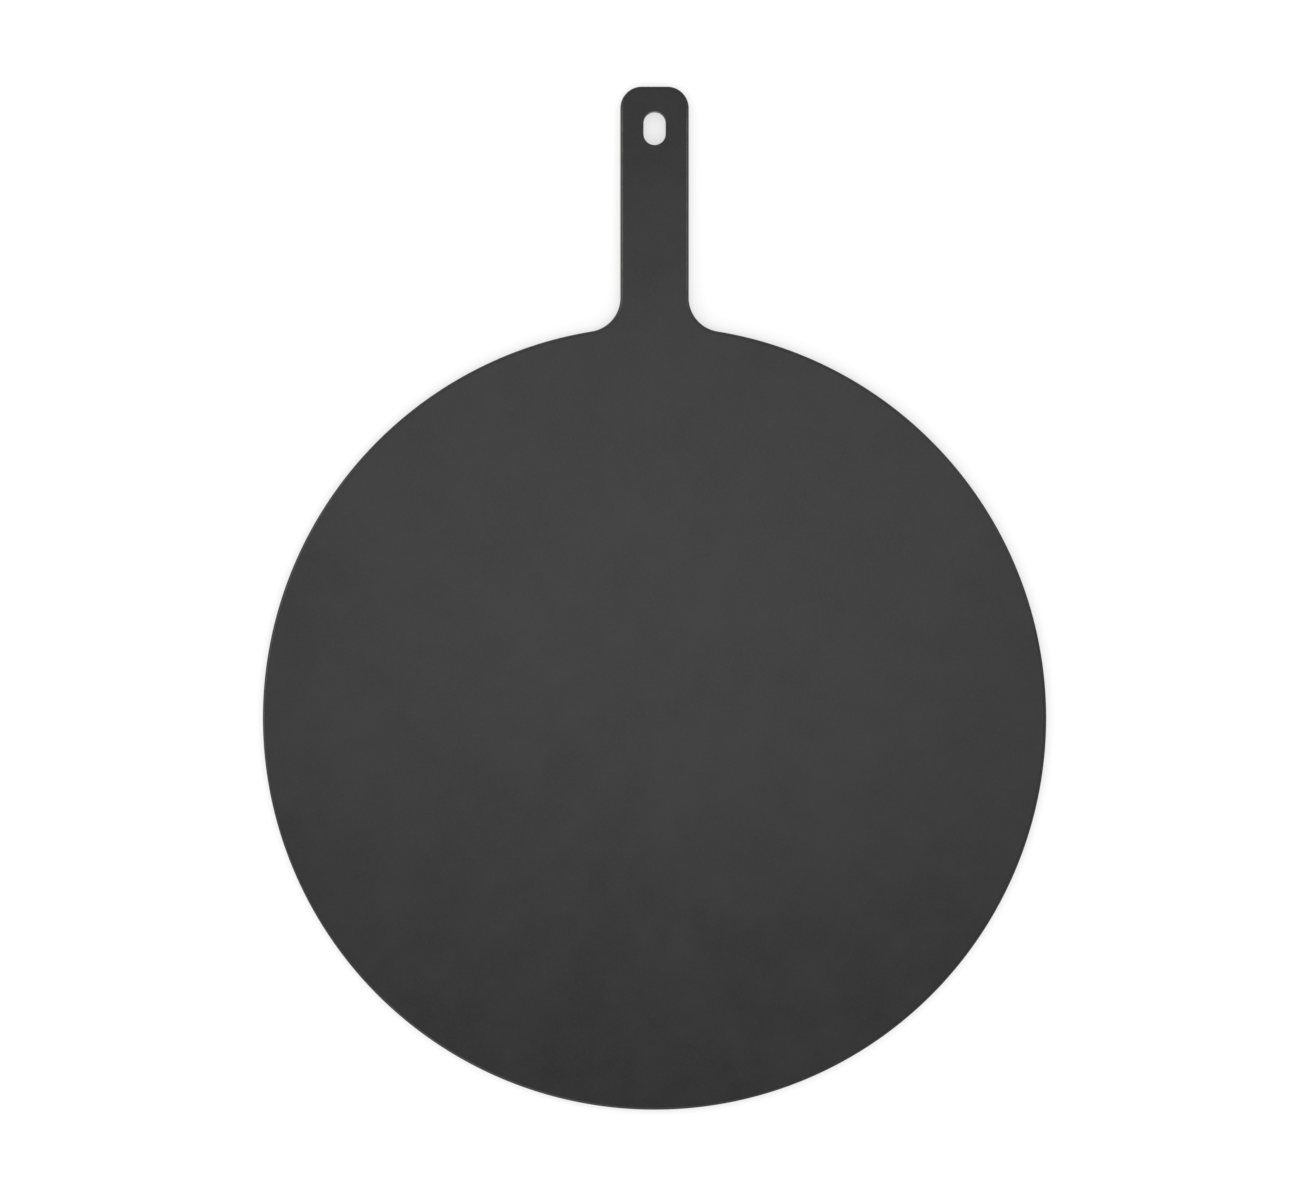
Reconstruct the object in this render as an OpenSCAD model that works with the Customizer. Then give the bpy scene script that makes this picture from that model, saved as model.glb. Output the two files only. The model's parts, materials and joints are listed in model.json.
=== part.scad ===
// Round serving board for pizza: one flat panel with a straight handle and a hanging slot.
// The underside lies on z = 0, the origin is under the middle of the round, and the handle points along +Y.

/* [Panel] */
// Thickness of the panel
board_t = 6; // [5:0.1:12]
// Diameter of the round
disc_d = 356; // [280:1:420]
// Radius of the round-over along both rims of the outline
edge_r = 1.5; // [0.5:0.1:2.4]

/* [Handle] */
// Length of the handle, from the line of the round to the handle's end
handle_l = 108.9; // [80:0.1:160]
// Width of the handle
handle_w = 31.1; // [26:0.1:44]
// Radius of the hollow curve where the round runs into the handle
neck_r = 15.45; // [8:0.05:30]
// Radius of the two corners at the handle's end
corner_r = 9.8; // [4:0.1:12]

/* [Hanging slot] */
// Width of the slot, which is also the diameter of its round ends
slot_w = 10; // [6:0.1:12]
// Length of the slot from end to end
slot_l = 15.2; // [13:0.1:30]
// Distance from the slot to the end of the handle
slot_margin = 11.4; // [8:0.1:20]
// Radius of the small round-over along the slot's rims
slot_edge_r = 0.5; // [0.2:0.1:1.5]

/* [Hidden] */
$fn = 180;

// How far a cut runs past the faces of the panel
overrun = board_t / 4;

disc_r = disc_d / 2;
half_w = handle_w / 2;
tip_y = disc_r + handle_l;

// Centre of the right hollow curve, which touches the round from outside and the handle from beside
neck_x = half_w + neck_r;
neck_y = sqrt((disc_r + neck_r) ^ 2 - neck_x ^ 2);

// Centre of the right corner at the handle's end
corner_x = half_w - corner_r;
corner_y = tip_y - corner_r;

// Centres of the slot's two round ends
slot_r = slot_w / 2;
slot_far_y = tip_y - slot_margin - slot_r;
slot_near_y = slot_far_y - slot_l + slot_w;

// What a round-over takes off a square rim that runs through the origin
module round_over(rim_r) {
    translate([-rim_r, 0]) difference() {
        square(rim_r);
        translate([0, rim_r]) circle(rim_r);
    }
}

// Section of the panel, from its middle out to an edge with both rims rounded over
module edge_section(reach) {
    difference() {
        square([reach, board_t]);
        for (top = [0, 1]) translate([reach, top * board_t]) mirror([0, top]) round_over(edge_r);
    }
}

// Section of a cut through the panel, which flares at both faces by the round-over of its rims
module cut_section(reach, rim_r) {
    difference() {
        translate([0, -overrun]) square([reach + rim_r, board_t + 2 * overrun]);
        translate([reach, rim_r]) square([rim_r, board_t - 2 * rim_r]);
        for (z = [rim_r, board_t - rim_r]) translate([reach + rim_r, z]) circle(rim_r);
    }
}

// A straight run along Y of a section, on both sides of the middle line
module run_along_y() {
    for (side = [0, 1]) mirror([side, 0, 0]) translate([0, tip_y, 0]) rotate([90, 0, 0])
        linear_extrude(tip_y) children();
}

// Upright prism over part of the plan, past both faces of the panel if it trims a cut
module plan(points, past = 0) {
    translate([0, 0, -past]) linear_extrude(board_t + 2 * past) polygon(points);
}

// Upright prism over a rectangle of the plan
module plan_box(from, to, past = 0) {
    plan([from, [to.x, from.y], to, [from.x, to.y]], past);
}

// The outline is a chain of arcs and straight runs, each tangent to the next. Each has its own stretch
// of the panel, trimmed in the plane where its run passes into the next one, so that the stretches meet
// face to face and the rounded rims flow on without a step.
module neck_plan() {
    plan([[0, 0], [neck_x, neck_y], [-neck_x, neck_y]]);
}

module round_stretch() {
    difference() {
        rotate_extrude() edge_section(disc_r);
        neck_plan();
    }
}

module neck_stretch() {
    difference() {
        neck_plan();
        for (side = [-1, 1]) translate([side * neck_x, neck_y, 0])
            rotate_extrude() cut_section(neck_r, edge_r);
    }
}

module handle_stretch() {
    intersection() {
        run_along_y() edge_section(half_w);
        plan_box([-neck_x, neck_y], [neck_x, corner_y]);
    }
}

module end_stretch() {
    intersection() {
        rotate([90, 0, 90]) linear_extrude(handle_w, center = true) edge_section(tip_y);
        plan_box([-corner_x, corner_y], [corner_x, tip_y + corner_r]);
    }
    for (side = [-1, 1]) intersection() {
        translate([side * corner_x, corner_y, 0]) rotate_extrude() edge_section(corner_r);
        plan_box([side * corner_x, corner_y], [side * neck_x, tip_y + corner_r]);
    }
}

// The slot is cut as two round ends and the straight run between them
module hanging_slot() {
    for (end = [[slot_near_y, slot_near_y - slot_w], [slot_far_y, slot_far_y + slot_w]]) intersection() {
        translate([0, end[0], 0]) rotate_extrude() cut_section(slot_r, slot_edge_r);
        plan_box([-slot_w, end[0]], [slot_w, end[1]], overrun);
    }
    intersection() {
        run_along_y() cut_section(slot_r, slot_edge_r);
        plan_box([-slot_w, slot_near_y], [slot_w, slot_far_y], overrun);
    }
}

module board() {
    color("dimgray") difference() {
        union() {
            round_stretch();
            neck_stretch();
            handle_stretch();
            end_stretch();
        }
        hanging_slot();
    }
}

board();
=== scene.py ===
# %% [markdown]
# # A serving board for pizza
# The object is one flat panel of pressed wood fibre and resin: a round to carry the pizza, a straight
# handle, and a slot to hang it by. An object this plain lives by two things, which this lesson is about:
# rims that stay smooth from any side, and a surface that holds up from a step away and from very near.

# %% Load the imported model
import json
import math

import bmesh
import bpy
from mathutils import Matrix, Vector

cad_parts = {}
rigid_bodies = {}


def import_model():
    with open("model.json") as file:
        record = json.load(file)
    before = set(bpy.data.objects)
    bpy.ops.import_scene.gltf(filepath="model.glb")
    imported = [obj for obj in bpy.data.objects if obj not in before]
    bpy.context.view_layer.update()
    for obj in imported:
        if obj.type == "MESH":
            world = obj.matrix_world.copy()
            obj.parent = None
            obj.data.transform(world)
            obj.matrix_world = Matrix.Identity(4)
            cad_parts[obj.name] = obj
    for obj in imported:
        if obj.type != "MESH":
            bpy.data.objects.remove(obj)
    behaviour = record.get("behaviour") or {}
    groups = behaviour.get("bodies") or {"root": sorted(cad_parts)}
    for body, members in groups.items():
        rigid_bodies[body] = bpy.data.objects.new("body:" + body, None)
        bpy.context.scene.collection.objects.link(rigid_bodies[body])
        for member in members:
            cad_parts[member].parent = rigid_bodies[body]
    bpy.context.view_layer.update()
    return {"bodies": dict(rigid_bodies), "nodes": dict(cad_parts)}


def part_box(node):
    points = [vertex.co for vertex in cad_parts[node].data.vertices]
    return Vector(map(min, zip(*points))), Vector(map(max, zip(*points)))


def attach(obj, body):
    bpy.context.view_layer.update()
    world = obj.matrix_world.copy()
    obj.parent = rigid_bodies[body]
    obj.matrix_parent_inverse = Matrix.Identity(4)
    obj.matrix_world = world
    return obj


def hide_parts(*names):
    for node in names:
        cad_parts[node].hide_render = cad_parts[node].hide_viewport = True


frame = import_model()
board = frame["nodes"]["board"]
print("board:", len(board.data.polygons), "faces")

# %% [markdown]
# ## Sizes
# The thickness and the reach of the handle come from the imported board's own box. The arcs are sizes that a
# box doesn't tell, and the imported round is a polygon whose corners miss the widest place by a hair, so
# these are the part's own values, in metres.

# %% Sizes of the board
MM = 0.001
low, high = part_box("board")
BOARD_T = high.z - low.z
TIP_Y = high.y
ROUND_R = 178 * MM
HALF_W = 15.55 * MM
NECK_R = 15.45 * MM
CORNER_R = 9.8 * MM
RIM_R = 1.5 * MM
SLOT_R = 5 * MM
SLOT_L = 15.2 * MM
SLOT_MARGIN = 11.4 * MM
SLOT_RIM_R = 0.5 * MM
print("thickness", round(BOARD_T, 5), "m, end of the handle at", round(TIP_Y, 5), "m")

# %% [markdown]
# ## The camera
# The photograph looks straight down on the board, so the camera hangs above it with its top edge towards
# the handle. It hangs high and has a long lens, because then the slot's walls and the rims stay hidden, as
# they do in the photograph. The lens follows from the height and from the width that the frame takes in,
# and that width from the pixels that the round spans, set so that the two outlines meet.

# %% Camera above the board
PHOTO_W, PHOTO_H = 1309, 1200
ROUND_PX = 783.96
ROUND_MIDDLE_PX = (654.55, 718.1)
MM_PER_PX = 2 * ROUND_R / MM / ROUND_PX
CAMERA_HEIGHT = 2.4
CAMERA_REACH = 100
SENSOR = 36.0


def add_camera():
    """Hangs the camera over the middle of the photograph's frame."""
    middle_x = (PHOTO_W / 2 - ROUND_MIDDLE_PX[0]) * MM_PER_PX * MM
    middle_y = (ROUND_MIDDLE_PX[1] - PHOTO_H / 2) * MM_PER_PX * MM
    bpy.ops.object.camera_add(location=(middle_x, middle_y, CAMERA_HEIGHT), rotation=(0, 0, 0))
    camera = bpy.context.object
    camera.name = "camera"
    frame_width = PHOTO_W * MM_PER_PX * MM
    camera.data.sensor_width = SENSOR
    camera.data.lens = SENSOR * (CAMERA_HEIGHT - BOARD_T) / frame_width
    camera.data.clip_end = CAMERA_REACH
    bpy.context.scene.camera = camera
    return camera


camera = add_camera()
print("lens", round(camera.data.lens, 1), "mm, frame", round(PHOTO_W * MM_PER_PX, 1), "mm wide")

# %% [markdown]
# ## The outline of the panel
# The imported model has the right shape, but its triangles are coarse where the rims round over, and the
# round looks nibbled when it is seen from the side. So the panel is drawn again, to the same sizes and much
# finer. The outline is a chain of arcs and straight runs. The middle of each arc follows from the sizes,
# because every run passes smoothly into the next: the hollow curve of the neck touches the round from
# outside and the handle from beside.

# %% Middles of the arcs
NECK_X = HALF_W + NECK_R
NECK_Y = math.sqrt((ROUND_R + NECK_R) ** 2 - NECK_X ** 2)
NECK_TURN = math.degrees(math.atan2(NECK_Y, NECK_X))
CORNER_X = HALF_W - CORNER_R
CORNER_Y = TIP_Y - CORNER_R
SLOT_FAR_Y = TIP_Y - SLOT_MARGIN - SLOT_R
SLOT_NEAR_Y = SLOT_FAR_Y - SLOT_L + 2 * SLOT_R
print("neck", round(NECK_X, 5), round(NECK_Y, 5), "corner", round(CORNER_X, 5), round(CORNER_Y, 5))
print("ends of the slot", round(SLOT_NEAR_Y, 5), round(SLOT_FAR_Y, 5))

# %% [markdown]
# ## Compasses and rule
# An outline could be typed in as a list of points, but here it is drawn as with compasses and a rule: one
# point is spun round the middle of each arc and extruded along each straight run. Only the right half is
# drawn, from the foot of the round to the slot, and a mirror gives the left half later.

# %% Right half of the outline
ROUND_STEP, SMALL_STEP, SLOT_STEP = 1, 3, 5
QUARTER_TURN = 90


def arc(middle_x, middle_y, degrees, step):
    """Spins the selected point round the middle of an arc, in steps of about so many degrees.

    The spin turns clockwise about its axis, so the axis points down to make a positive angle turn left.
    """
    bpy.ops.mesh.spin(steps=round(abs(degrees) / step), angle=math.radians(degrees),
                      center=(middle_x, middle_y, 0), axis=(0, 0, -1), use_auto_merge=False)


def straight(x, y):
    """Extrudes the selected point along a straight run."""
    bpy.ops.mesh.extrude_vertices_move(TRANSFORM_OT_translate={"value": (x, y, 0)})


def draw_half_outline():
    """Draws the right half, from the foot of the round up to the handle's end and back along the slot."""
    bpy.ops.object.select_all(action="DESELECT")
    bpy.ops.mesh.primitive_plane_add(size=MM, location=(0, 0, 0))
    bpy.context.object.name = "panel"
    bpy.ops.object.mode_set(mode="EDIT")
    bpy.ops.mesh.merge(type="CENTER")
    bpy.ops.transform.translate(value=(0, -ROUND_R, low.z))
    arc(0, 0, QUARTER_TURN + NECK_TURN, ROUND_STEP)
    arc(NECK_X, NECK_Y, -NECK_TURN, SMALL_STEP)
    straight(0, CORNER_Y - NECK_Y)
    arc(CORNER_X, CORNER_Y, QUARTER_TURN, SMALL_STEP)
    straight(-CORNER_X, 0)
    straight(0, -SLOT_MARGIN)
    arc(0, SLOT_FAR_Y, -QUARTER_TURN, SLOT_STEP)
    straight(0, SLOT_NEAR_Y - SLOT_FAR_Y)
    arc(0, SLOT_NEAR_Y, -QUARTER_TURN, SLOT_STEP)
    return bpy.context.object


panel = draw_half_outline()
outline = bmesh.from_edit_mesh(panel.data).verts
print("outline points", len(outline), "widest", round(max(vertex.co.x for vertex in outline), 6))

# %% [markdown]
# ## From outline to panel
# The real panel is cut out of a flat sheet. Here the half outline becomes a face, and the face is extruded
# to the sheet's thickness. That leaves walls on the middle line, which go, so that the mirrored half joins
# on with nothing left inside. An operator acts on what is selected, so a small helper selects by a test,
# where a hand would click.

# %% Face and thickness
bpy.ops.mesh.select_all(action="SELECT")
bpy.ops.mesh.edge_face_add()
bpy.ops.mesh.extrude_region_move(TRANSFORM_OT_translate={"value": (0, 0, BOARD_T)})
bpy.ops.mesh.select_all(action="SELECT")
bpy.ops.mesh.normals_make_consistent(inside=False)
print("faces of the half panel", len(bmesh.from_edit_mesh(panel.data).faces))

# %% Walls on the middle line
HAIR = 0.001 * MM


def select_where(part, test):
    """Selects the vertices, edges or faces of the mesh in edit mode that pass a test, and counts them."""
    mesh = bmesh.from_edit_mesh(bpy.context.object.data)
    bpy.ops.mesh.select_all(action="DESELECT")
    passing = [item for item in getattr(mesh, part) if test(item)]
    for item in passing:
        item.select_set(True)
    mesh.select_flush_mode()
    bmesh.update_edit_mesh(bpy.context.object.data)
    return len(passing)


def on_middle_line(face):
    """True for a wall that stands on the plane of the mirror."""
    return all(abs(vertex.co.x) < HAIR for vertex in face.verts)


walls = select_where("faces", on_middle_line)
bpy.ops.mesh.delete(type="ONLY_FACE")
print("walls taken out", walls)


# %% Left half
def apply_modifier(kind, **settings):
    """Adds a modifier to the active object, sets it and applies it."""
    bpy.ops.object.modifier_add(type=kind)
    modifier = bpy.context.object.modifiers[-1]
    for name, value in settings.items():
        setattr(modifier, name, value)
    bpy.ops.object.modifier_apply(modifier=modifier.name)


bpy.ops.object.mode_set(mode="OBJECT")
apply_modifier("MIRROR", merge_threshold=HAIR)
print("faces of the whole panel, with square rims", len(panel.data.polygons))

# %% [markdown]
# ## Rounded rims
# A router rounds the real panel over, with a wide radius along the outline and a small one round the slot.
# A bevel does the same to the edges where a face meets an upright wall. Those edges turn sharply, and the
# edges between two strips of the wall hardly turn, so the angle tells them apart.

# %% Rims
RIM_STEPS, SLOT_RIM_STEPS = 10, 5
RIM_ANGLE = math.radians(45)
ROUND_PROFILE = 0.5


def beside_slot(vertex):
    """True for a point on the slot's border."""
    return abs(vertex.co.x) < SLOT_R + HAIR and NECK_Y < vertex.co.y < TIP_Y - HAIR


def is_rim(edge, of_slot):
    """True for an edge between a face and an upright wall, either round the slot or along the outline."""
    if len(edge.link_faces) != 2 or edge.calc_face_angle() < RIM_ANGLE:
        return False
    return of_slot == all(beside_slot(vertex) for vertex in edge.verts)


def round_rims(of_slot, radius, steps):
    """Rounds the rims of the outline or of the slot over, on both faces."""
    edges = select_where("edges", lambda edge: is_rim(edge, of_slot))
    bpy.ops.mesh.bevel(offset=radius, segments=steps, profile=ROUND_PROFILE,
                       affect="EDGES", clamp_overlap=False)
    return edges


bpy.ops.object.mode_set(mode="EDIT")
bpy.ops.mesh.select_mode(type="EDGE")
print("edges rounded along the outline", round_rims(False, RIM_R, RIM_STEPS))
print("edges rounded round the slot", round_rims(True, SLOT_RIM_R, SLOT_RIM_STEPS))
bpy.ops.object.mode_set(mode="OBJECT")

# %% [markdown]
# ## Smooth shading
# Smooth shading mixes the directions of the faces that meet at a point, which would tilt the light at the
# border of the large flat faces. Weighting them by area keeps the flat faces flat and the rims round.

# %% Smooth rims and flat faces
bpy.ops.object.shade_smooth()
apply_modifier("WEIGHTED_NORMAL", mode="FACE_AREA")
print("faces with rounded rims", len(panel.data.polygons))

# %% [markdown]
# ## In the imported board's place
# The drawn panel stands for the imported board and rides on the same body. A mesh that is going to be printed
# or baked has to be closed, so its open edges are counted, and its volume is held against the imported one.

# %% Hand the panel to the frame, and measure it
CUBIC_CM = 1e6

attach(panel, list(frame["bodies"])[0])
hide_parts("board")


def measure(piece):
    """Faces, open edges and volume in cubic centimetres of a mesh."""
    mesh = bmesh.new()
    mesh.from_mesh(piece.data)
    bmesh.ops.remove_doubles(mesh, verts=mesh.verts, dist=HAIR)
    faces = len(mesh.faces)
    open_edges = sum(not edge.is_manifold for edge in mesh.edges)
    volume = round(mesh.calc_volume() * CUBIC_CM, 2)
    mesh.free()
    return faces, open_edges, volume


print("faces, open edges, volume: panel", measure(panel), "packed board", measure(board))

# %% [markdown]
# ## Small helpers for shaders
# A procedural finish is a chain of small steps. The nodes could be dragged and wired by hand. These helpers
# add and wire them in code, so that a material below reads as a list of what the surface does.


# %% Nodes, arithmetic and masks
def add_node(tree, kind, inputs=None, **settings):
    """Adds a node, sets its properties, and feeds its inputs with plain values or other nodes' outputs."""
    node = tree.nodes.new(kind)
    for name, value in settings.items():
        setattr(node, name, value)
    for key, value in (inputs or {}).items():
        if isinstance(value, bpy.types.NodeSocket):
            tree.links.new(value, node.inputs[key])
        else:
            node.inputs[key].default_value = value
    return node


def maths(tree, operation, *values):
    """One step of arithmetic."""
    return add_node(tree, "ShaderNodeMath", dict(enumerate(values)), operation=operation).outputs["Value"]


def product(tree, first, *others):
    """Multiplies values one after another."""
    for value in others:
        first = maths(tree, "MULTIPLY", first, value)
    return first


def remap(tree, value, start, end, first_result, last_result, blend="LINEAR"):
    """Moves a value from one range to another, and holds it there at both ends."""
    inputs = {"Value": value,
              "From Min": start, "From Max": end,
              "To Min": first_result, "To Max": last_result}
    return add_node(tree, "ShaderNodeMapRange", inputs, interpolation_type=blend).outputs["Result"]


def rise(tree, value, span, blend="LINEAR"):
    """Mask that comes up from 0 to 1 over a span of the value."""
    return remap(tree, value, span[0], span[1], 0, 1, blend)


def fall(tree, value, span, blend="LINEAR"):
    """Mask that goes down from 1 to 0 over a span of the value."""
    return remap(tree, value, span[0], span[1], 1, 0, blend)


# %% [markdown]
# ## A mat of fibres
# Under a lens the face is a felt of short fibres that lie every way. Stretched noise only gives strands in
# one direction. So each cell of a pattern of cells gets one straight fibre through its middle, turned by
# the cell's own random number. It is a node group, because the finish lays it twice, coarse and fine. Half
# the fibre's length and half its width are shares of the cell, from where it starts to fade to where it
# ends.

# %% Fibre mat node group
FIBRE_LENGTH = (0.25, 0.5)
FIBRE_WIDTH = (0.02, 0.08)
FAINTEST_FIBRE = 0.2


def fibre_mat_group():
    """One short fibre in each cell, turned at random and more or less near the surface; puts out a mask."""
    group = bpy.data.node_groups.new("fibre_mat", "ShaderNodeTree")
    group.interface.new_socket("Vector", in_out="INPUT", socket_type="NodeSocketVector")
    group.interface.new_socket("Cell Size", in_out="INPUT", socket_type="NodeSocketFloat")
    group.interface.new_socket("Mask", in_out="OUTPUT", socket_type="NodeSocketFloat")
    given = group.nodes.new("NodeGroupInput").outputs
    cell = given["Cell Size"]
    frequency = maths(group, "DIVIDE", 1, cell)
    cells = add_node(group, "ShaderNodeTexVoronoi", {"Vector": given["Vector"], "Scale": frequency})
    chance = add_node(group, "ShaderNodeSeparateColor", {"Color": cells.outputs["Color"]})
    from_middle = add_node(group, "ShaderNodeVectorMath",
                           {0: given["Vector"], 1: cells.outputs["Position"]}, operation="SUBTRACT")
    turn = product(group, chance.outputs["Red"], math.tau)
    turned = add_node(group, "ShaderNodeVectorRotate", {"Vector": from_middle.outputs[0], "Angle": turn})
    split = add_node(group, "ShaderNodeSeparateXYZ", {"Vector": turned.outputs[0]})
    along = maths(group, "DIVIDE", maths(group, "ABSOLUTE", split.outputs["X"]), cell)
    across = maths(group, "DIVIDE", maths(group, "ABSOLUTE", split.outputs["Y"]), cell)
    length = fall(group, along, FIBRE_LENGTH, "SMOOTHSTEP")
    width = fall(group, across, FIBRE_WIDTH, "SMOOTHSTEP")
    depth = remap(group, chance.outputs["Green"], 0, 1, FAINTEST_FIBRE, 1)
    add_node(group, "NodeGroupOutput", {"Mask": product(group, length, width, depth)})
    return group


FIBRE_MAT = fibre_mat_group()
print(FIBRE_MAT.name, "has", len(FIBRE_MAT.nodes), "nodes")

# %% [markdown]
# ## Face, rims and sides
# The board is sheets of fibre soaked in resin and pressed into one, and each part of its surface looks
# different. Each part could have a material of its own, but then it would end in a hard line. As the board
# lies flat, the depth below the nearer face tells the parts apart, so soft masks on that depth do the work,
# and nothing has to be unwrapped.

# %% Zones by depth
CUT_STARTS = (0.01 * MM, 0.12 * MM)
CURVE_STARTS = (0.002 * MM, 0.03 * MM)
SIDE_STARTS = (0.55 * RIM_R, 1.05 * RIM_R)


def depth_below_face(tree, z):
    """How deep a point lies below the nearer face."""
    from_middle = maths(tree, "ABSOLUTE", maths(tree, "SUBTRACT", z, BOARD_T / 2))
    return maths(tree, "SUBTRACT", BOARD_T / 2, from_middle)


def panel_zones(tree, depth):
    """Masks for all that is cut through the sheets, and for the rounded rims alone."""
    cut = rise(tree, depth, CUT_STARTS, "SMOOTHSTEP")
    curved = rise(tree, depth, CURVE_STARTS, "SMOOTHSTEP")
    rim = product(tree, curved, fall(tree, depth, SIDE_STARTS, "SMOOTHSTEP"))
    return cut, rim


print("sides from", round(SIDE_STARTS[0] / MM, 3), "to", round(SIDE_STARTS[1] / MM, 3), "mm below the face")

# %% [markdown]
# ## A painted highlight along the handle
# Just past where the handle's rims begin, a thin pale line is painted into the colour, stronger in some
# places than in others. It is a painted highlight, for the light that the break of the rim catches. It could
# be painted by hand, but it is a range of depths too, so a mask draws it all round. It fades out towards the
# round and towards the handle's end, and noise breaks it into patches.

# %% Painted highlight line
# Where along the handle the painted highlight lies, and how it fades at both ends
HIGHLIGHT_REACH = (ROUND_R + 8 * MM, TIP_Y - 8 * MM)
HIGHLIGHT_FADES = (12 * MM, 6 * MM)
HIGHLIGHT_STARTS = (0.02 * MM, 0.07 * MM)
HIGHLIGHT_ENDS = (0.18 * MM, 0.38 * MM)
PATCH_SIZE = 5 * MM
PATCH_SPAN = (0.35, 0.6)
FAINTEST_HIGHLIGHT = 0.4


def noise(tree, where, size, detail=4.0, roughness=0.55):
    """Cloudy noise whose blotches are about the given size."""
    inputs = {"Vector": where, "Scale": 1 / size, "Detail": detail, "Roughness": roughness}
    return add_node(tree, "ShaderNodeTexNoise", inputs).outputs["Fac"]


def painted_highlight_line(tree, where, y, depth):
    """Mask for the painted highlight, a thin pale line along the handle's rims, and round the slot as well.
    """
    line = product(tree, rise(tree, depth, HIGHLIGHT_STARTS), fall(tree, depth, HIGHLIGHT_ENDS))
    along_handle = product(tree, rise(tree, y, (HIGHLIGHT_REACH[0], HIGHLIGHT_REACH[0] + HIGHLIGHT_FADES[0])),
                   fall(tree, y, (HIGHLIGHT_REACH[1] - HIGHLIGHT_FADES[1], HIGHLIGHT_REACH[1])))
    patches = remap(tree, noise(tree, where, PATCH_SIZE, detail=5), *PATCH_SPAN, FAINTEST_HIGHLIGHT, 1)
    return product(tree, line, along_handle, patches)


# Reach of the painted highlight along the handle
print("grip from", round(HIGHLIGHT_REACH[0], 4), "to", round(HIGHLIGHT_REACH[1], 4))

# %% [markdown]
# ## Patterns and shades
# The face is a dry, even charcoal. From a step away only faint clouds show, where the pulp lies thicker,
# and from near a fine grain and the fibre mat. Along the sides the sheets show as thin lines, and the cut
# sides and rims are a paler grey, partly the sheets on show and partly painted sheen. All the colours are
# shades of the face's own grey, so that one number makes the whole board paler or darker.

# %% Shades of the panel
FACE_GREY = 0.0215
CLOUD_SWING = 0.18
GRAIN_SHADE, GRAIN_SHARE = 1.2, 0.25
FIBRE_SHADE, FIBRE_SHARE = 1.6, 0.55
# Greys of the cut sides and rims: the sheets on show, made paler partly as painted sheen
SHEET_AND_SHEEN_SHADES = (1.5, 2.3)
SHEET_WARMTH = 0.03
# Shade and warmth of the painted highlight along the handle's rims
HIGHLIGHT_SHADE = 4.2
HIGHLIGHT_WARMTH = 0.02


def grey(value, warmth=0.0):
    """A grey in linear light, a little warm if asked."""
    return (value * (1 + warmth), value, value * (1 - warmth), 1)


def shade(times, warmth=0.0):
    """The face's own grey, so many times as pale."""
    return grey(FACE_GREY * times, warmth)


# The palest sheet grey is partly painted sheen on the rims
print("face", FACE_GREY, "palest sheet", round(FACE_GREY * SHEET_AND_SHEEN_SHADES[1], 4))
# Grey of the painted highlight along the handle
print("rubbed line", round(FACE_GREY * HIGHLIGHT_SHADE, 4))

# %% Patterns of the panel
CLOUD_SIZES = (60 * MM, 14 * MM)
CLOUD_SPAN = (0.75, 1.25)
GRAIN_SIZE = 0.5 * MM
FIBRE_CELLS = (2.6 * MM, 1.5 * MM)
SHEET_PITCH = 0.3 * MM
SHEET_WAVER = 0.12 * MM
NOISE_MIDDLE = 0.5


def fibre_cover(tree, where):
    """Coarse and fine fibres, laid over each other."""
    masks = []
    for size in FIBRE_CELLS:
        mat = add_node(tree, "ShaderNodeGroup", node_tree=FIBRE_MAT)
        tree.links.new(where, mat.inputs["Vector"])
        mat.inputs["Cell Size"].default_value = size
        masks.append(mat.outputs["Mask"])
    return maths(tree, "ADD", *masks)


def sheet_lines(tree, z, clouds):
    """Thin lines at even heights, which waver a little with the clouds."""
    waver = product(tree, maths(tree, "SUBTRACT", clouds, NOISE_MIDDLE), SHEET_WAVER)
    height = product(tree, maths(tree, "ADD", z, waver), math.tau / SHEET_PITCH)
    return rise(tree, maths(tree, "SINE", height), (-1, 1))


print("sheets through the thickness:", round(BOARD_T / SHEET_PITCH))

# %% [markdown]
# ## Gloss and tooth
# The face spreads light into a broad, soft sheen, so its roughness is middling and its mirror gloss weak.
# The cutter burnished the rims, and they are smoother. What roughness can't give is the tooth that is felt
# with a finger. It is far too small for geometry, and a bump gives it.

# %% Gloss and tooth of the panel
FACE_ROUGHNESS = (0.41, 0.45)
GRAIN_ROUGHNESS = 0.02
RIM_BURNISH = 0.20
SPECULAR_LEVEL = 0.15
FIBRE_TOOTH = 0.5
SHEET_TOOTH = 0.4
TOOTH_HEIGHT = 0.03 * MM
TOOTH_STRENGTH = 0.15


def panel_gloss(tree, clouds, grain, rim):
    """Roughness: even on the face, a little rougher in the grain, smoother on the rims."""
    roughness = remap(tree, clouds, 0, 1, *FACE_ROUGHNESS)
    roughness = maths(tree, "ADD", roughness, product(tree, grain, GRAIN_ROUGHNESS))
    return maths(tree, "SUBTRACT", roughness, product(tree, rim, RIM_BURNISH))


def panel_tooth(tree, grain, fibres, sheets, cut):
    """Normal of the fine relief: grain and fibres all over, and the sheets where they are cut."""
    relief = maths(tree, "ADD", grain, product(tree, fibres, FIBRE_TOOTH))
    relief = maths(tree, "ADD", relief, product(tree, sheets, cut, SHEET_TOOTH))
    inputs = {"Height": relief, "Strength": TOOTH_STRENGTH, "Distance": TOOTH_HEIGHT}
    return add_node(tree, "ShaderNodeBump", inputs).outputs["Normal"]


print("roughness", FACE_ROUGHNESS, "tooth up to", TOOTH_HEIGHT / MM, "mm")

# %% [markdown]
# ## The finish itself
# The patterns and masks come together in one material. The face's shades are laid over each other, first
# the clouds, then the grain and the fibres. The cut sides go over those, in a paler grey that is partly the
# sheets on show and partly painted sheen on the rims. The painted highlight along the handle comes last.


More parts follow.
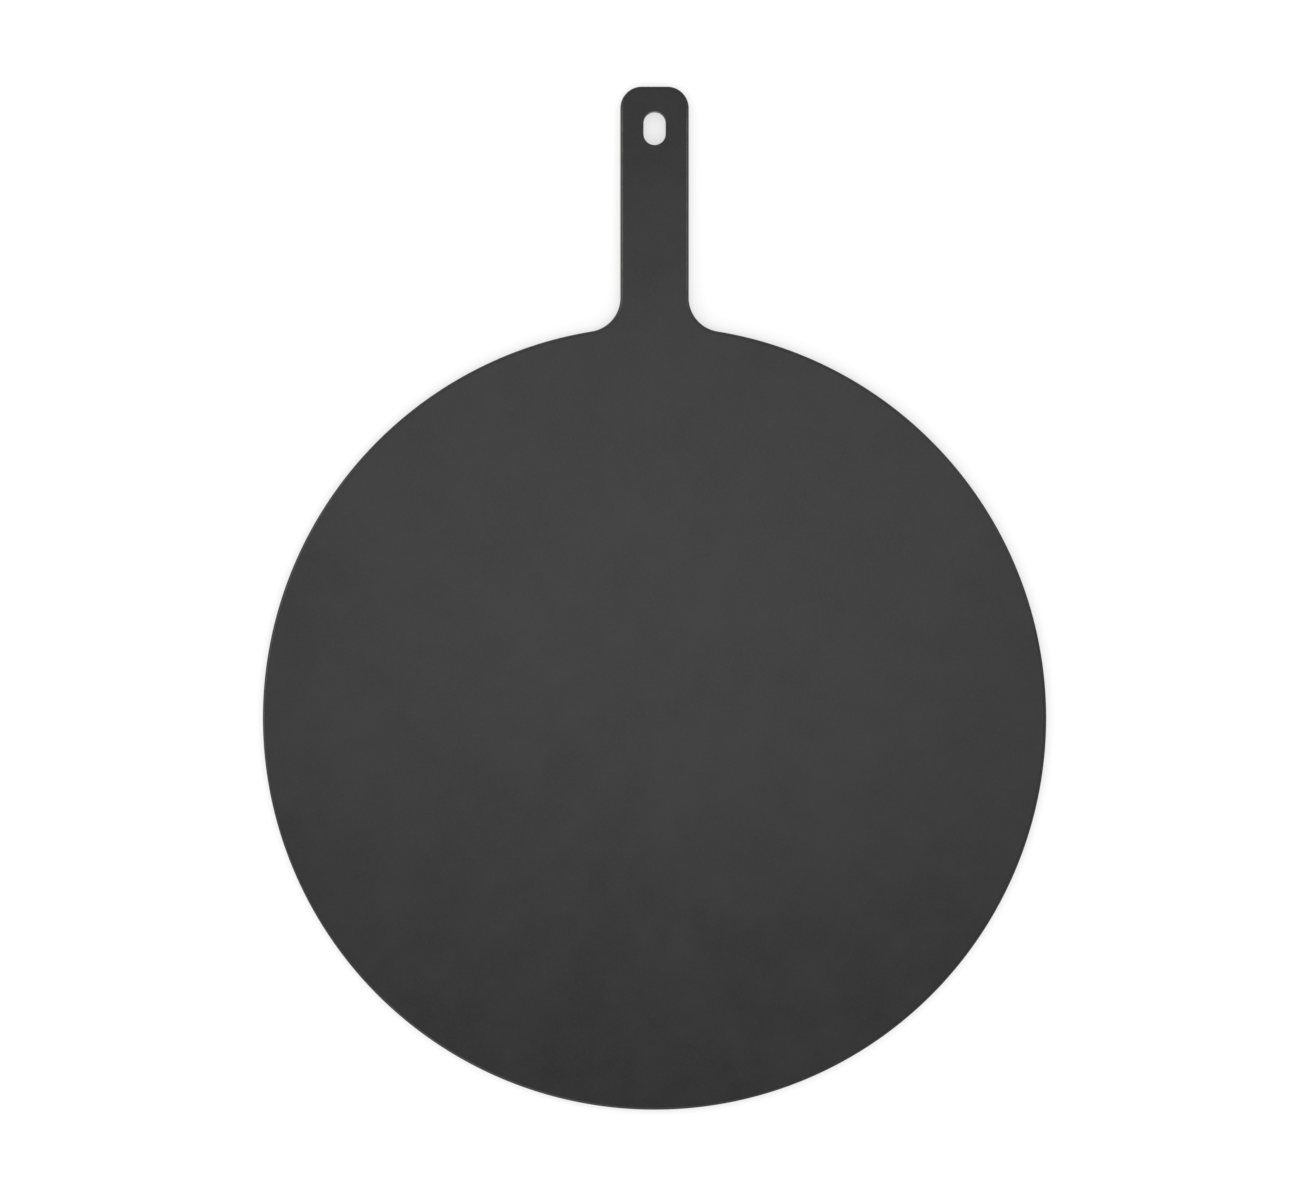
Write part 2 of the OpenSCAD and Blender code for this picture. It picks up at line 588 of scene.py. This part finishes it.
# %% Finish of the panel
def mix_colour(tree, factor, first, second):
    """Blends two colours by a factor."""
    return add_node(tree, "ShaderNodeMix", {0: factor, 6: first, 7: second}, data_type="RGBA").outputs[2]


def panel_finish():
    """Matte charcoal fibre board, with its pressed sheets on show along the sides, paler cut rims that are
    partly painted sheen, and a painted highlight along the handle.
    """
    material = bpy.data.materials.new("charcoal_fibre_panel")
    material.use_nodes = True
    tree = material.node_tree
    where = tree.nodes.new("ShaderNodeTexCoord").outputs["Object"]
    place = add_node(tree, "ShaderNodeSeparateXYZ", {"Vector": where}).outputs
    depth = depth_below_face(tree, place["Z"])
    cut, rim = panel_zones(tree, depth)

    wide, small = (noise(tree, where, size) for size in CLOUD_SIZES)
    clouds = rise(tree, maths(tree, "ADD", wide, small), CLOUD_SPAN)
    grain = noise(tree, where, GRAIN_SIZE, detail=3)
    fibres = fibre_cover(tree, where)
    sheets = sheet_lines(tree, place["Z"], small)
    # Mask of the painted highlight along the handle's rims
    painted_highlight = painted_highlight_line(tree, where, place["Y"], depth)

    colour = mix_colour(tree, clouds, shade(1 - CLOUD_SWING), shade(1 + CLOUD_SWING))
    colour = mix_colour(tree, product(tree, grain, GRAIN_SHARE), colour, shade(GRAIN_SHADE))
    colour = mix_colour(tree, product(tree, fibres, FIBRE_SHARE), colour, shade(FIBRE_SHADE))
    # The paler grey of the cut sides and rims is partly the sheets on show and partly painted sheen
    sides_and_painted_sheen = mix_colour(tree, sheets, shade(SHEET_AND_SHEEN_SHADES[0]), shade(SHEET_AND_SHEEN_SHADES[1], SHEET_WARMTH))
    colour = mix_colour(tree, cut, colour, sides_and_painted_sheen)
    # Painted highlight: the pale line along the handle's rims stands in for light caught at the break
    colour = mix_colour(tree, painted_highlight, colour, shade(HIGHLIGHT_SHADE, HIGHLIGHT_WARMTH))

    shader = tree.nodes["Principled BSDF"]
    shader.inputs["Specular IOR Level"].default_value = SPECULAR_LEVEL
    tree.links.new(colour, shader.inputs["Base Color"])
    tree.links.new(panel_gloss(tree, clouds, grain, rim), shader.inputs["Roughness"])
    tree.links.new(panel_tooth(tree, grain, fibres, sheets, cut), shader.inputs["Normal"])
    return material


panel.data.materials.append(panel_finish())
print("finish on", panel.name, "with", len(panel.data.materials[0].node_tree.nodes), "nodes")

# %% [markdown]
# ## The floor
# The board lies on a white table whose edge is far out of sight. Lit white would need far too much light
# for a dark object, so the floor gives camera rays most of their white by itself and adds only a small
# share of the light that falls on it. That share carries the soft shadow. It is strongest under the
# overhead lamp, so the glow is a little weaker there, and the white comes out even. Right beside the board
# a table is darker still, because the board hides part of the room from it. Ambient occlusion finds those
# places, and takes some of the glow away.

# %% Glow of the floor
FLOOR_GLOW = 0.865
GLOW_REACH = 0.27
CONTACT_REACH = 15 * MM
CONTACT_DEPTH = 0.48
CONTACT_CURVE = 1.3
OVERHEAD_SPOT = Vector((0.011, 0.088, 0))


def floor_glow(tree):
    """Strength of the glow: weaker under the overhead lamp, and weaker right beside the board."""
    where = tree.nodes.new("ShaderNodeTexCoord").outputs["Object"]
    away = add_node(tree, "ShaderNodeVectorMath", {0: where, 1: OVERHEAD_SPOT}, operation="DISTANCE")
    strength = remap(tree, away.outputs["Value"], 0, GLOW_REACH, FLOOR_GLOW, 1)
    open_sky = add_node(tree, "ShaderNodeAmbientOcclusion", {"Distance": CONTACT_REACH}).outputs["AO"]
    hidden = maths(tree, "POWER", maths(tree, "SUBTRACT", 1, open_sky), CONTACT_CURVE)
    return product(tree, strength, remap(tree, hidden, 0, 1, 1, 1 - CONTACT_DEPTH))


print("glow", FLOOR_GLOW, "under the overhead lamp, and 1 from", GLOW_REACH, "m away")

# %% White floor
FLOOR_HALF = 8.0
FLOOR_LIFT = 0.02 * MM
FLOOR_SHARE = 0.11
TABLE_GREY = 0.8


def seen_directly(tree):
    """1 for rays of the camera and for those that a surface mirrors or lets through, 0 for all others."""
    path = tree.nodes.new("ShaderNodeLightPath").outputs
    seen = maths(tree, "MAXIMUM", path["Is Camera Ray"], path["Is Glossy Ray"])
    return maths(tree, "MAXIMUM", seen, path["Is Transmission Ray"])


def floor_finish():
    """White to the camera, with a soft shadow, and seen through from below."""
    material = bpy.data.materials.new("white_floor")
    material.use_nodes = True
    tree = material.node_tree
    tree.nodes.clear()
    lit = add_node(tree, "ShaderNodeBsdfDiffuse", {"Color": grey(FLOOR_SHARE)}).outputs[0]
    glow = add_node(tree, "ShaderNodeEmission", {"Strength": floor_glow(tree)}).outputs[0]
    white = add_node(tree, "ShaderNodeAddShader", {0: lit, 1: glow}).outputs[0]
    plain = add_node(tree, "ShaderNodeBsdfDiffuse", {"Color": grey(TABLE_GREY)}).outputs[0]
    upper = add_node(tree, "ShaderNodeMixShader", {0: seen_directly(tree), 1: plain, 2: white}).outputs[0]
    below = tree.nodes.new("ShaderNodeNewGeometry").outputs["Backfacing"]
    clear = tree.nodes.new("ShaderNodeBsdfTransparent").outputs[0]
    both = add_node(tree, "ShaderNodeMixShader", {0: below, 1: upper, 2: clear}).outputs[0]
    add_node(tree, "ShaderNodeOutputMaterial", {"Surface": both})
    return material


def add_floor():
    """A wide sheet at the height of the board's underside."""
    bpy.ops.object.select_all(action="DESELECT")
    bpy.ops.mesh.primitive_plane_add(size=2 * FLOOR_HALF, location=(0, 0, low.z + FLOOR_LIFT))
    floor = bpy.context.object
    floor.name = "floor"
    floor.data.materials.append(floor_finish())
    return floor


floor = add_floor()
print(floor.name, 2 * FLOOR_HALF, "m across")

# %% [markdown]
# ## The light
# Five softboxes stand in a dim white room. The one overhead is small and near, and lays a broad sheen over
# the upper middle of the round. The one on the left catches the rounded rims on its side. The one in front
# turns the soft shadow towards the upper right, and the one on the right keeps the far rims from going
# black. The last is under the floor, which is clear from below, so that the underside can be looked at too.

# %% Room
ROOM_LIGHT = 0.08


def light_room():
    """A little even light from all round, which the camera sees as plain white."""
    world = bpy.data.worlds.new("white_room")
    bpy.context.scene.world = world
    world.use_nodes = True
    tree = world.node_tree
    background = tree.nodes["Background"]
    background.inputs["Color"].default_value = grey(1.0)
    strength = remap(tree, seen_directly(tree), 0, 1, ROOM_LIGHT, 1)
    tree.links.new(strength, background.inputs["Strength"])
    return world


room = light_room()
print(room.name, "lights with", ROOM_LIGHT)

# %% Softboxes
OVERHEAD_HEIGHT = Vector((0, 0, 0.406))
BESIDE_NECK = (0, 0.1, 0)
ROUND_MIDDLE = (0, 0, 0)

# Name, place, aim, width, height and brightness of each
SOFTBOXES = (
    ("overhead_softbox", OVERHEAD_SPOT + OVERHEAD_HEIGHT, OVERHEAD_SPOT, 0.50, 0.36, 2.58),
    ("left_softbox", (-1.05, 0.30, 0.70), BESIDE_NECK, 0.9, 0.45, 4.5),
    ("front_softbox", (-0.4, -1.2, 0.7), ROUND_MIDDLE, 1.2, 0.9, 2.1),
    ("right_softbox", (0.9, 0.5, 0.75), BESIDE_NECK, 0.6, 0.6, 1.6),
    ("under_softbox", (0, 0, -0.8), ROUND_MIDDLE, 1.6, 1.6, 1.1),
)


def add_softbox(name, place, aim, width, height, brightness):
    """A rectangular lamp of an even brightness, where 1 is white, turned to face its aim."""
    bpy.ops.object.light_add(type="AREA", location=place)
    lamp = bpy.context.object
    lamp.name = name
    lamp.rotation_euler = (Vector(aim) - Vector(place)).to_track_quat("-Z", "Y").to_euler()
    lamp.data.shape = "RECTANGLE"
    lamp.data.size = width
    lamp.data.size_y = height
    lamp.data.energy = brightness * math.pi * width * height
    lamp.visible_camera = False
    return lamp


for softbox in SOFTBOXES:
    lamp = add_softbox(*softbox)
    print(lamp.name, round(lamp.data.energy, 2), "W")

# %% [markdown]
# ## View settings
# The colours are meant as they are written, so the picture is shown with the plain view.

# %% View settings
bpy.context.scene.view_settings.view_transform = "Standard"
